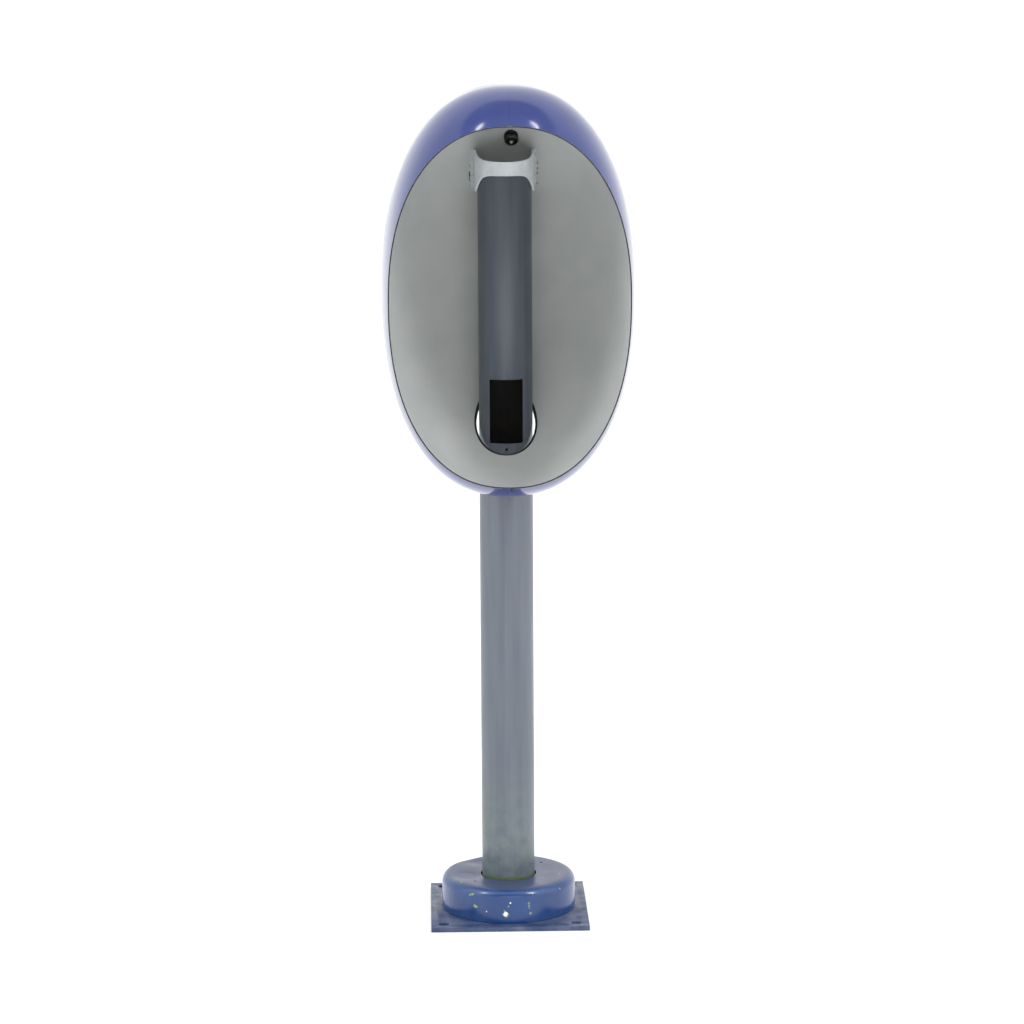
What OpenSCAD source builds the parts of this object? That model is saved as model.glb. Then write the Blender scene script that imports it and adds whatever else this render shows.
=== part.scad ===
// Open egg-shaped hood on a tubular post, with a round cover over its foot.
// Origin: on the floor, on the axis of the post. +Z is up, and the hood opens towards -Y.

/* [Base plate] */
// Side of the square base plate
plate_side = 340; // [320:5:400]
// Thickness of the base plate
plate_t = 10; // [8:1:15]
// Distance between anchor holes, along X and along Y
anchor_pitch = 284; // [280:2:290]
// Radius of an anchor hole
anchor_hole_r = 11; // [7:0.5:12]
// Radius of the cable hole in the middle of the plate
cable_hole_r = 30; // [20:1:40]

/* [Post] */
// Outer radius of the post
post_r = 57.15; // [55:0.05:58]
// Wall thickness of the post
post_wall = 4; // [3:0.5:6]
// Height of the head of the post above the floor
post_top = 1618; // [1608:1:1622]
// Width of the hand hole
hand_w = 70; // [50:1:80]
// Height of the lower edge of the hand hole
hand_z0 = 1040; // [1034:1:1050]
// Height of the upper edge of the hand hole
hand_z1 = 1176; // [1150:1:1190]

/* [Foot cover] */
// Outer radius of the round cover
cover_r = 145; // [142:1:155]
// Height of its top above the floor
cover_top = 85; // [82:1:95]
// Sheet thickness of the cover
cover_t = 2; // [1.5:0.5:3]
// Radius of its rounded shoulder
cover_round = 18; // [10:1:24]
// Radius of the hole round the post
cover_hole_r = 60.5; // [59:0.5:63]

/* [Hood] */
// Half of the greatest width of the hood
hood_half_w = 259; // [250:1:280]
// Height of the crown of the hood
hood_crown = 1808; // [1795:1:1830]
// Height of the lowest point of the hood
hood_low = 966; // [950:1:975]
// Wall thickness of the hood
hood_t = 3; // [2.5:0.5:5]
// How far the rim leans forward at the top, as a slope
hood_lean = 0.133; // [0.05:0.01:0.2]
// Squareness of the hood's section: 2 is an ellipse
hood_n = 2.26; // [2:0.02:2.6]

/* [Hidden] */

blue_paint = "#3f5f92";
blue_gelcoat = "#4a5aa8";
grey_gelcoat = "#b4b6b4";
grey_paint = "#7f8892";
zinc = "#b9bcc0";
black = "#1c1c1e";
weld_grey = "#6d7178";

tiny = 0.05;    // gap left between faces that only touch
round_fn = 96;

// Form of the hood. Each quarter of its outline is half of a rounded oval that is widest at its own depth.
mid_z = 1380;       // height at which the hood is widest
rim_y = -420;       // depth of the open rim, at mid_z
back_y = 115;       // depth of the back of the hood
crown_y = -262;     // depth of the crown
low_y = -310;       // depth of the lowest point
wide_y = -228;      // depth of the greatest width
crown_front = 287;  // how far in front of the crown its oval would close
low_front = 285;    // the same for the underside
wide_front = 573;   // the same for the sides
crown_p = 3.23;     // squareness of the roof towards the back
low_p = 2.16;       // squareness of the underside towards the back
wide_p = 2.6;       // squareness of the sides towards the back
hood_rings = 21;    // rings from the rim to the pole at the back
hood_sides = 48;    // points in a ring
first_ring = 12;    // distance of the second ring behind the rim
floor_hole_r = post_r + 7;      // hole for the post in the hood's floor
floor_cut_z = hood_low - 50;    // where the cut for that hole starts, below the floor,
floor_cut_h = 300;              // and how far up it goes

function oval(u, p) = pow(max(1 - pow(abs(u), p), 0), 1 / p);
function swell(y, widest, front, p) =
    y < widest ? oval((widest - y) / front, 2) : oval((y - widest) / (back_y - widest), p);
function half_height(y, up) =
    up ? (hood_crown - mid_z) * swell(y, crown_y, crown_front, crown_p)
       : (mid_z - hood_low) * swell(y, low_y, low_front, low_p);
function half_width(y) = hood_half_w * swell(y, wide_y, wide_front, wide_p);
function bent(v) = sign(v) * pow(abs(v), 2 / hood_n);
// How far along from the rim, 0, to the pole at the back, 1, a depth lies
function along(y) = asin(min((y - rim_y) / (back_y - rim_y), 1)) / 90;
// The point of the hood's outer surface at depth y and angle a
function skin(y, a) =
    let (rise = half_height(y, sin(a) > 0) * bent(sin(a)))
    [half_width(y) * bent(cos(a)), y - hood_lean * (1 - along(y)) * rise, mid_z + rise];
function unit(v) = v / norm(v);
// Directions at a point of that surface: square to it, and along it towards the back
probe = 0.5;        // distance and angle over which they are measured
function normal(y, a) =
    unit(cross(
        skin(y + probe, a) - skin(max(y - probe, rim_y), a),
        skin(y, a + probe) - skin(y, a - probe)
    ));
function backwards(y, a) = unit(skin(y + probe, a) - skin(y, a));
// The point this far under the outer surface, measured square to it
function under_skin(y, a, inset) = skin(y, a) - inset * normal(y, a);
ring_ys = concat(
    [rim_y, rim_y + first_ring],
    [for (k = [1:hood_rings - 2]) rim_y + (back_y - rim_y) * sin(90 * k / (hood_rings - 1))]
);
function skin_points(inset) = [
    for (y = ring_ys)
        for (i = [0:hood_sides - 1])
            under_skin(y, 360 * i / hood_sides, inset),
    [0, back_y - inset, mid_z]
];
// Faces between the rings of one skin, whose points start at s. flip turns them to face inwards.
function turned(f, flip) = flip ? [f[0], f[2], f[1]] : f;
function skin_faces(s, flip) = [
    for (k = [0:hood_rings - 2])
        for (i = [0:hood_sides - 1])
            let (
                j = (i + 1) % hood_sides,
                a = s + k * hood_sides + i,
                b = s + k * hood_sides + j,
                c = a + hood_sides,
                d = b + hood_sides
            )
            each [turned([a, b, d], flip), turned([a, d, c], flip)],
    for (i = [0:hood_sides - 1])
        let (a = s + (hood_rings - 1) * hood_sides)
        turned([a + i, a + (i + 1) % hood_sides, s + hood_rings * hood_sides], flip)
];
// Depth of the hood's outer face straight behind the post at a height
function outer_base(z) =
    z < mid_z
        ? low_y + (back_y - low_y) * oval((mid_z - z) / (mid_z - hood_low), low_p)
        : crown_y + (back_y - crown_y) * oval((z - mid_z) / (hood_crown - mid_z), crown_p);
function outer_y(z) = outer_base(z) - hood_lean * (1 - along(outer_base(z))) * (z - mid_z);
// The same for the face that lies inset under it
function wall_y(z, inset) = outer_y(z) - inset * norm([1, (outer_y(z + 1) - outer_y(z - 1)) / 2]);

// Closed solid inside the given skin of the hood
module hood_solid(inset) {
    points = skin_points(inset);
    polyhedron(
        points = concat(points, [[0, rim_y, mid_z]]),
        faces = concat(
            skin_faces(0, false),
            [for (i = [0:hood_sides - 1]) [(i + 1) % hood_sides, i, len(points)]]
        )
    );
}

// Foot
gusset_t = 8;
gusset_top = 72;
gusset_reach = 124;
gusset_nose = 16;
weld_leg = 6;
snipe = 9;
cover_gap = 0.3;    // air under the cover's lower edge
cover_dish = 3;     // how far its top sinks towards the post
tab_turn = 43;      // direction of the first cover screw
tab_at = 101;       // distance of the cover screws from the post axis
tab_w = 24;
tab_t = 3;
tab_top = 79;
tab_back = 122;
tab_front = 88;
screw_r = 3;

// Fixings behind the post
rear_zs = [1240, 1500];
m12_r = 6;
m12_hole_r = 6.6;
spacer_r = 12;
washer_r = 18;
washer_t = 3;
m12_head_r = 10.4;
m12_head_h = 7.5;
insert_r = 8.5;
insert_flange_r = 11;
insert_flange_t = 1.8;
insert_depth = 19;

// Band round the head of the post
band_r = 58.6;      // its inner radius
band_t = 4.4;
band_mid_top = 1635;
band_mid_low = 1605;
band_end_top = 1660;
band_end_low = 1558;
band_reach = 63;    // half width at which its edges reach those end heights
bond_w = 12;        // how far the bonding laminate reaches from the band
bond_t = 6;

// Cable gland in the back wall
gland_x = 16;
gland_z = 1682;
gland_y = wall_y(gland_z, hood_t);
gland_tilt = 32;    // its nose points this far below level, square to the wall
m20_r = 10;
gland_hole_r = 10.3;
gland_bore_r = 6.5;
body_across = 31;   // across the corners of the body and of the lock nut
plug_r = 5;
dome_across = 33;   // across the corners of the dome nut

module hexagon(across, h) {
    cylinder(r = across / 2, h = h, $fn = 6);
}

module along_y(x, z) {
    translate([x, 0, z])
        rotate([-90, 0, 0])
            children();
}

module at_gland() {
    translate([gland_x, gland_y, gland_z])
        rotate([90 + gland_tilt, 0, 0])
            children();
}

module base_plate() {
    color(blue_paint)
        difference() {
            translate([-plate_side / 2, -plate_side / 2, 0])
                cube([plate_side, plate_side, plate_t]);
            for (x = [-1, 1], y = [-1, 1])
                translate([x * anchor_pitch / 2, y * anchor_pitch / 2, -1])
                    cylinder(r = anchor_hole_r, h = plate_t + 2, $fn = 48);
            translate([0, 0, -1])
                cylinder(r = cable_hole_r, h = plate_t + 2, $fn = 48);
        }
}

module gussets() {
    color(weld_grey)
        for (turn = [0:90:270])
            rotate([90, 0, turn])
                translate([0, 0, -gusset_t / 2])
                    linear_extrude(height = gusset_t)
                        polygon([
                            [post_r + 0.4, gusset_top],
                            [post_r + 0.4, plate_t + snipe],
                            [post_r + snipe, plate_t + tiny],
                            [gusset_reach, plate_t + tiny],
                            [gusset_reach, gusset_nose],
                            [post_r + snipe, gusset_top]
                        ]);
}

module post_foot_weld() {
    color(weld_grey)
        rotate_extrude($fn = round_fn)
            polygon([
                [post_r, plate_t],
                [post_r + weld_leg, plate_t],
                [post_r, plate_t + weld_leg]
            ]);
}

module cover_tabs() {
    color(weld_grey)
        for (turn = [tab_turn, tab_turn + 180])
            rotate([0, 0, turn])
                difference() {
                    union() {
                        translate([tab_back - tab_t, -tab_w / 2, plate_t])
                            cube([tab_t, tab_w, tab_top - plate_t]);
                        translate([tab_front, -tab_w / 2, tab_top - tab_t])
                            cube([tab_back - tab_front, tab_w, tab_t]);
                    }
                    translate([tab_at, 0, tab_top - 2 * tab_t])
                        cylinder(r = screw_r - 0.5, h = 3 * tab_t, $fn = 24);
                }
}

module post() {
    color(grey_paint)
        difference() {
            translate([0, 0, plate_t])
                cylinder(r = post_r, h = post_top - plate_t, $fn = round_fn);
            translate([0, 0, plate_t - 1])
                cylinder(r = post_r - post_wall, h = post_top, $fn = round_fn);
            translate([-hand_w / 2, -post_r - 1, hand_z0])
                cube([hand_w, post_r / 2, hand_z1 - hand_z0]);
            translate([0, -post_r - 1, hand_z0 - 13])
                rotate([-90, 0, 0])
                    cylinder(r = screw_r, h = 20, $fn = 24);
            for (z = rear_zs)
                along_y(0, z)
                    cylinder(r = insert_r + tiny, h = post_r + 5, $fn = 48);
        }
}

module post_cap() {
    color(black)
        union() {
            translate([0, 0, post_top + tiny])
                cylinder(r = post_r, h = 3, $fn = round_fn);
            translate([0, 0, post_top - 16])
                cylinder(r = post_r - post_wall - tiny, h = 17, $fn = round_fn);
        }
}

module rivet_nuts() {
    color(zinc)
        for (z = rear_zs)
            along_y(0, z)
                difference() {
                    union() {
                        translate([0, 0, post_r - insert_depth])
                            cylinder(r = insert_r, h = insert_depth + 1, $fn = 48);
                        translate([0, 0, post_r + tiny])
                            cylinder(r = insert_flange_r, h = insert_flange_t, $fn = 48);
                    }
                    translate([0, 0, post_r - insert_depth - 1])
                        cylinder(r = m12_r + 0.1, h = insert_depth + 10, $fn = 48);
                }
}

module rear_spacers() {
    start = post_r + insert_flange_t + 2 * tiny;
    color(zinc)
        for (z = rear_zs) {
            end = min(wall_y(z - spacer_r, hood_t), wall_y(z + spacer_r, hood_t)) - 1;
            along_y(0, z)
                translate([0, 0, start])
                    difference() {
                        cylinder(r = spacer_r, h = end - start, $fn = 48);
                        translate([0, 0, -1])
                            cylinder(r = m12_hole_r, h = end, $fn = 48);
                    }
        }
}

// Outer face of the hood's wall behind a rear bolt, clear of the washer there
function rear_seat(z) = max(wall_y(z - washer_r, 0), wall_y(z, 0), wall_y(z + washer_r, 0)) + 0.2;

module rear_washers() {
    color(zinc)
        for (z = rear_zs)
            along_y(0, z)
                translate([0, 0, rear_seat(z)])
                    difference() {
                        cylinder(r = washer_r, h = washer_t, $fn = 48);
                        translate([0, 0, -1])
                            cylinder(r = m12_hole_r, h = washer_t + 2, $fn = 48);
                    }
}

module rear_bolts() {
    color(zinc)
        for (z = rear_zs)
            along_y(0, z) {
                seat = rear_seat(z) + washer_t + tiny;
                translate([0, 0, post_r - insert_depth])
                    cylinder(r = m12_r, h = seat - post_r + insert_depth + 1, $fn = 48);
                translate([0, 0, seat])
                    hexagon(2 * m12_head_r, m12_head_h);
            }
}

// Half section of the foot cover, from its lower edge round the shoulder to the hole
module cover_section() {
    shoulder_x = cover_r - cover_round;
    shoulder_z = cover_top - cover_round;
    difference() {
        union() {
            translate([0, plate_t + cover_gap])
                square([cover_r, shoulder_z - plate_t - cover_gap]);
            translate([0, plate_t + cover_gap])
                square([shoulder_x, cover_top - plate_t - cover_gap]);
            translate([shoulder_x, shoulder_z])
                circle(r = cover_round, $fn = round_fn);
        }
        translate([-1, 0])
            square([cover_r - cover_t + 1, shoulder_z]);
        translate([-1, 0])
            square([shoulder_x + 1, cover_top - cover_t - cover_dish]);
        translate([shoulder_x, shoulder_z])
            circle(r = cover_round - cover_t, $fn = round_fn);
        polygon([
            [0, 0],
            [shoulder_x, 0],
            [shoulder_x, cover_top - cover_t],
            [cover_hole_r, cover_top - cover_t - cover_dish],
            [0, cover_top - cover_t - cover_dish]
        ]);
        polygon([
            [-1, cover_top + 1],
            [-1, cover_top - cover_dish],
            [cover_hole_r, cover_top - cover_dish],
            [shoulder_x, cover_top],
            [shoulder_x, cover_top + 1]
        ]);
        translate([-1, 0])
            square([cover_hole_r + 1, cover_top + 1]);
    }
}

module base_cover() {
    color(blue_paint)
        difference() {
            rotate_extrude($fn = round_fn)
                cover_section();
            for (turn = [tab_turn, tab_turn + 180])
                rotate([0, 0, turn])
                    translate([tab_at, 0, cover_top - 20])
                        cylinder(r = screw_r, h = 40, $fn = 24);
        }
}

module hood_shell() {
    outer = skin_points(0);
    inner = skin_points(hood_t);
    n = len(outer);
    rim_faces = [
        for (i = [0:hood_sides - 1])
            let (j = (i + 1) % hood_sides)
            each [[i, n + j, j], [i, n + i, n + j]]
    ];
    color(blue_gelcoat)
        difference() {
            polyhedron(
                points = concat(outer, inner),
                faces = concat(skin_faces(0, false), skin_faces(n, true), rim_faces)
            );
            translate([0, 0, floor_cut_z])
                cylinder(r = floor_hole_r, h = floor_cut_h, $fn = round_fn);
            for (z = rear_zs)
                along_y(0, z)
                    cylinder(r = m12_hole_r, h = back_y + 20, $fn = 48);
            at_gland()
                translate([0, 0, -30])
                    cylinder(r = gland_hole_r, h = 60, $fn = 48);
        }
}

// Flat strip glued along the edge of the rim. Its section's points run round it from the outer front corner.
trim_t = 1.5;
trim_margin = 0.2;  // bare edge left on each side of the strip
function trim_ring(a) =
    let (
        outer = under_skin(rim_y, a, trim_margin),
        inner = under_skin(rim_y, a, hood_t - trim_margin),
        front = -trim_t * backwards(rim_y, a)
    )
    [outer + front, outer, inner, inner + front];
// From angle a0 to a0 + 180, less a hair at each end
module rim_trim(a0) {
    steps = hood_sides / 2;
    hair = 0.02;
    angles = [for (s = [0:steps]) min(max(a0 + 180 * s / steps, a0 + hair), a0 + 180 - hair)];
    sides = [
        for (s = [0:steps - 1])
            for (i = [0:3])
                let (j = (i + 1) % 4, a = 4 * s + i, b = 4 * s + j)
                each [[a, b + 4, b], [a, a + 4, b + 4]]
    ];
    last = 4 * steps;
    caps = [[0, 1, 2], [0, 2, 3], [last + 2, last + 1, last], [last + 3, last + 2, last]];
    polyhedron(points = [for (a = angles) each trim_ring(a)], faces = concat(sides, caps));
}

module rim_trim_left() {
    color(black)
        rim_trim(90);
}

module rim_trim_right() {
    low = skin(rim_y, 270);
    color(black) {
        rim_trim(-90);
        // The loose tail below the lower joint
        translate([1, low[1] - 1.4, low[2] - 7])
            cube([2.5, 1.3, 8.5]);
    }
}

module floor_hole_trim() {
    color(black)
        intersection() {
            difference() {
                hood_solid(-1);
                hood_solid(hood_t + 1);
            }
            translate([0, 0, floor_cut_z])
                difference() {
                    cylinder(r = floor_hole_r - tiny, h = floor_cut_h, $fn = round_fn);
                    translate([0, 0, -1])
                        cylinder(r = floor_hole_r - 1.6, h = floor_cut_h + 2, $fn = round_fn);
                }
        }
}

// Outline of the band seen from the front: a dip in its top edge and an arch under it
module band_front() {
    steps = 16;
    xs = [for (i = [-steps:steps]) i / steps * (band_reach + band_t + 6)];
    function reach(x) = min(abs(x) / band_reach, 1);
    polygon(concat(
        [for (x = xs) [x, band_mid_top + (band_end_top - band_mid_top) * pow(reach(x), 3)]],
        [for (i = [len(xs) - 1:-1:0])
            let (x = xs[i])
            [x, band_mid_low - (band_mid_low - band_end_low) * pow(reach(x), 6)]]
    ));
}

// The band's wall seen from above: half a ring in front, and straight legs to the wall
module band_plan() {
    difference() {
        union() {
            circle(r = band_r + band_t, $fn = round_fn);
            translate([-band_r - band_t, 0])
                square([2 * (band_r + band_t), back_y]);
        }
        circle(r = band_r, $fn = round_fn);
        translate([-band_r, 0])
            square([2 * band_r, back_y + 1]);
    }
}

module saddle() {
    color(grey_gelcoat)
        intersection() {
            translate([0, 0, band_end_low - 5])
                linear_extrude(height = band_end_top - band_end_low + 10)
                    band_plan();
            translate([0, back_y + 5, 0])
                rotate([90, 0, 0])
                    linear_extrude(height = 250)
                        band_front();
            hood_solid(hood_t);
        }
}

// Layer of bonding laminate on the wall beside a leg of the band, on the side given by s
module saddle_bond(s) {
    near = band_r + band_t;
    color(grey_gelcoat)
        intersection() {
            translate([s > 0 ? near : -near - bond_w, 0, band_end_low + 3])
                cube([bond_w, back_y, band_end_top - band_end_low - 10]);
            difference() {
                hood_solid(hood_t);
                hood_solid(hood_t + bond_t);
            }
        }
}

module saddle_bond_left() {
    saddle_bond(-1);
}

module saddle_bond_right() {
    saddle_bond(1);
}

module gland_body() {
    color(black)
        at_gland()
            difference() {
                union() {
                    translate([0, 0, -17])
                        cylinder(r = m20_r, h = 30, $fn = 48);
                    translate([0, 0, 2 + tiny])
                        hexagon(body_across, 6);
                }
                translate([0, 0, -18])
                    cylinder(r = gland_bore_r, h = 32, $fn = 48);
            }
}

module gland_washer() {
    color(black)
        at_gland()
            difference() {
                translate([0, 0, 0.4])
                    cylinder(r = 15, h = 1.6, $fn = 48);
                translate([0, 0, -2])
                    cylinder(r = m20_r + tiny, h = 6, $fn = 48);
            }
}

module gland_lock_nut() {
    color(black)
        at_gland()
            difference() {
                translate([0, 0, -hood_t - 7])
                    hexagon(body_across, 6);
                translate([0, 0, -hood_t - 8])
                    cylinder(r = m20_r + tiny, h = 8, $fn = 48);
            }
}

module gland_seal() {
    color("#2c2c30")
        at_gland()
            difference() {
                translate([0, 0, 13.1])
                    cylinder(r = 9, h = 6.5, $fn = 48);
                translate([0, 0, 12])
                    cylinder(r = plug_r + tiny, h = 10, $fn = 48);
            }
}

module gland_plug() {
    color("#e4e4e0")
        at_gland()
            union() {
                translate([0, 0, 9])
                    cylinder(r = plug_r, h = 13.5, $fn = 48);
                translate([0, 0, 22.5])
                    intersection() {
                        sphere(r = plug_r, $fn = 48);
                        translate([-plug_r, -plug_r, 0])
                            cube([2 * plug_r, 2 * plug_r, 3]);
                    }
            }
}

module gland_dome_nut() {
    color(black)
        at_gland()
            difference() {
                union() {
                    translate([0, 0, 8.2])
                        hexagon(dome_across, 9);
                    translate([0, 0, 17])
                        cylinder(r1 = 13, r2 = 8, h = 6, $fn = 48);
                }
                translate([0, 0, 8])
                    cylinder(r = m20_r + tiny, h = 5.1, $fn = 48);
                translate([0, 0, 13])
                    cylinder(r = 9 + tiny, h = 6.7, $fn = 48);
                translate([0, 0, 19])
                    cylinder(r = plug_r + 0.5, h = 6, $fn = 48);
            }
}

base_plate();
gussets();
post_foot_weld();
cover_tabs();
post();
post_cap();
rivet_nuts();
rear_spacers();
rear_washers();
rear_bolts();
base_cover();
hood_shell();
rim_trim_left();
rim_trim_right();
floor_hole_trim();
saddle();
saddle_bond_left();
saddle_bond_right();
gland_body();
gland_washer();
gland_lock_nut();
gland_seal();
gland_plug();
gland_dome_nut();
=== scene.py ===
import math

import bmesh
import bpy
from mathutils import Matrix, Vector, noise
from mathutils.bvhtree import BVHTree


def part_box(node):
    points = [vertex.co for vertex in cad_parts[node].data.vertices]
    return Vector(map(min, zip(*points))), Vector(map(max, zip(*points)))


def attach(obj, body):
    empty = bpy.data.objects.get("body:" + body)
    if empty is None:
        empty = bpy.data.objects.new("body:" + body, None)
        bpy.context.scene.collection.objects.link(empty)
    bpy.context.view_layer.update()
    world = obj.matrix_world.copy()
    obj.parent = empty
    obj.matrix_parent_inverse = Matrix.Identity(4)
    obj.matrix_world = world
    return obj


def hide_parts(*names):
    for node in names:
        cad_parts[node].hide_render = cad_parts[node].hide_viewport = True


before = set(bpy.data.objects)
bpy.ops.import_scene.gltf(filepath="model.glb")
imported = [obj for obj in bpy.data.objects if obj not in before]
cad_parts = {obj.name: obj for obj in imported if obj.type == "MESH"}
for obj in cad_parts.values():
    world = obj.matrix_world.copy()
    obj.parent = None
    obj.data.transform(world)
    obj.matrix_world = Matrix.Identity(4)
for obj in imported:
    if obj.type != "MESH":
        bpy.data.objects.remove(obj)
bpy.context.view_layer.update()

# ---------------------------------------------------------------- base plate
# A square of hot-rolled plate with four anchor holes and a cable hole, flame cut and then painted
# the same blue as the cover. It has been bolted down and dragged about, so its paint is rubbed in
# spots, and dirt dulls it.


def linear(hex_colour):
    """A linear RGBA colour from an sRGB hex one."""
    channels = [int(hex_colour[i:i + 2], 16) / 255 for i in (1, 3, 5)]
    return [c / 12.92 if c <= 0.04045 else ((c + 0.055) / 1.055) ** 2.4 for c in channels] + [1]


def per_mm(size):
    """The texture scale at which one feature is about this many millimetres."""
    return 1000 / size


def node(tree, kind, inputs=None, output=0, **settings):
    """Adds a shader node with its settings and its inputs, as values or sockets, and gives an output."""
    made = tree.nodes.new("ShaderNode" + kind)
    for key, value in settings.items():
        setattr(made, key, value)
    for socket, value in (inputs or {}).items():
        if isinstance(value, bpy.types.NodeSocket):
            tree.links.new(value, made.inputs[socket])
        else:
            made.inputs[socket].default_value = value
    return made.outputs[output]


def new_finish(name, **shader_values):
    """A material with its tree, its shader and its object coordinates."""
    finish = bpy.data.materials.new(name)
    finish.use_nodes = True
    tree = finish.node_tree
    shader = tree.nodes["Principled BSDF"]
    for socket, value in shader_values.items():
        shader.inputs[socket.replace("_", " ")].default_value = value
    place = node(tree, "TexCoord", output="Object")
    return finish, tree, shader, place


def spot(tree, place, at, across_mm, ragged=0.5):
    """A mask for one mark of a finish: 1 inside about this many millimetres of a point, rough at its edge."""
    radius = across_mm / 2000
    full_to, gone_at = radius / 1.2, radius / 0.9
    away = node(tree, "VectorMath", {0: place, 1: at}, "Value", operation="DISTANCE")
    lumps = {"Vector": place, "Scale": per_mm(across_mm / 2), "Detail": 4, "Roughness": 0.7}
    rough = node(tree, "TexNoise", lumps)
    spread = {"Value": rough, "From Min": 0.3, "From Max": 0.7, "To Min": 1 - ragged, "To Max": 1 + ragged}
    far = node(tree, "Math", {0: away, 1: node(tree, "MapRange", spread)}, operation="MULTIPLY")
    fade = {"Value": far, "From Min": full_to, "From Max": gone_at, "To Min": 1, "To Max": 0}
    return node(tree, "MapRange", fade)


def refinish(node_name, finish):
    """Gives a finish to a CAD node that keeps its own mesh."""
    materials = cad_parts[node_name].data.materials
    materials.clear()
    materials.append(finish)


def wrapped(bm, segments, place_point):
    """A grid whose every point, from (0, 0) to (1, 1), is put where place_point says. Seams are merged."""
    bmesh.ops.create_grid(bm, x_segments=segments[0], y_segments=segments[1], size=0.5)
    for v in bm.verts:
        v.co = Vector(place_point(v.co.x + 0.5, v.co.y + 0.5))
    bmesh.ops.remove_doubles(bm, verts=bm.verts, dist=1e-6)
    bmesh.ops.dissolve_degenerate(bm, edges=bm.edges, dist=1e-7)
    bmesh.ops.recalc_face_normals(bm, faces=bm.faces)


def piece_from(bm, name, *finishes):
    """A linked object from a bmesh, shaded smooth but for its sharp edges."""
    mesh = bpy.data.meshes.new(name)
    bm.to_mesh(mesh)
    bm.free()
    piece = bpy.data.objects.new(name, mesh)
    bpy.context.scene.collection.objects.link(piece)
    for finish in finishes:
        mesh.materials.append(finish)
    smooth(piece)
    return piece


def smooth(piece, crease=32):
    """Shades a piece smooth, and keeps edges sharper than crease degrees."""
    piece.data.shade_smooth()
    piece.data.set_sharp_from_angle(angle=math.radians(crease))


def applied(piece):
    """Turns a piece's modifiers into its mesh."""
    graph = bpy.context.evaluated_depsgraph_get()
    made = bpy.data.meshes.new_from_object(piece.evaluated_get(graph))
    piece.modifiers.clear()
    old = piece.data
    piece.data = made
    bpy.data.meshes.remove(old)
    made.name = piece.name
    smooth(piece)


def drilled(piece, cutter_bm):
    """Cuts the shape in cutter_bm out of a piece."""
    cutter = piece_from(cutter_bm, piece.name + "_cutter")
    cut = piece.modifiers.new("cut", "BOOLEAN")
    cut.operation, cut.solver, cut.object = "DIFFERENCE", "EXACT", cutter
    applied(piece)
    bpy.data.objects.remove(cutter)


def rounded(piece, width_mm, segments=2, angle=40):
    """Rounds the sharp edges of a piece."""
    bevel = piece.modifiers.new("round", "BEVEL")
    bevel.width, bevel.segments = width_mm / 1000, segments
    bevel.limit_method, bevel.angle_limit = "ANGLE", math.radians(angle)
    applied(piece)


def add_rod(bm, radius, start, end, segments=48):
    """A closed rod from start to end, for a pin or for a cut."""
    along = Vector(end) - Vector(start)
    turn = Vector((0, 0, 1)).rotation_difference(along).to_matrix().to_4x4()
    middle = Matrix.Translation((Vector(start) + Vector(end)) / 2)
    bmesh.ops.create_cone(
        bm, cap_ends=True, segments=segments, radius1=radius, radius2=radius,
        depth=along.length, matrix=middle @ turn,
    )


plate_low, plate_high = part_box("base_plate")
anchor_hole_r = 0.011
anchor_reach = 0.142
cable_hole_r = 0.030
# The drills run past both faces of the plate
drill_low, drill_high = -0.01, 0.02

worn_plate, tree, shader, place = new_finish("blue_enamel_on_hot_rolled_plate", Roughness=0.42, IOR=1.5)
# Enamel over mill scale: a soft shine, clouded by grime, with paler grey where it is rubbed thin.
grime = node(tree, "TexNoise", {"Vector": place, "Scale": per_mm(45), "Detail": 6, "Roughness": 0.62})
grime = node(tree, "MapRange", {"Value": grime, "From Min": 0.38, "From Max": 0.68})
paint = node(tree, "Mix", {0: grime, 6: linear("#1b3058"), 7: linear("#485168")}, 2, data_type="RGBA")
rubbed = node(tree, "TexNoise", {"Vector": place, "Scale": per_mm(9), "Detail": 8, "Roughness": 0.7})
rubbed = node(tree, "MapRange", {"Value": rubbed, "From Min": 0.62, "From Max": 0.68})
paint = node(tree, "Mix", {0: rubbed, 6: paint, 7: linear("#737a8a")}, 2, data_type="RGBA")
tree.links.new(paint, shader.inputs["Base Color"])
dull = node(tree, "TexNoise", {"Vector": place, "Scale": per_mm(20), "Detail": 5, "Roughness": 0.55})
spread = {"Value": dull, "From Min": 0.3, "From Max": 0.7, "To Min": 0.28, "To Max": 0.55}
tree.links.new(node(tree, "MapRange", spread), shader.inputs["Roughness"])
skin_lumps = node(tree, "TexNoise", {"Vector": place, "Scale": per_mm(3), "Detail": 5, "Roughness": 0.55})
tree.links.new(node(tree, "Bump", {"Height": skin_lumps, "Distance": 0.00012}), shader.inputs["Normal"])

bm = bmesh.new()
bmesh.ops.create_cube(bm, size=1)
bmesh.ops.scale(bm, vec=plate_high - plate_low, verts=bm.verts)
bmesh.ops.translate(bm, vec=(plate_low + plate_high) / 2, verts=bm.verts)
base_plate = piece_from(bm, "base_plate_steel", worn_plate)
bm = bmesh.new()
for x in (-1, 1):
    for y in (-1, 1):
        at = (x * anchor_reach, y * anchor_reach)
        add_rod(bm, anchor_hole_r, (*at, drill_low), (*at, drill_high))
add_rod(bm, cable_hole_r, (0, 0, drill_low), (0, 0, drill_high), 64)
drilled(base_plate, bm)
rounded(base_plate, 0.8)
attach(base_plate, "stand")
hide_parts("base_plate")

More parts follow.
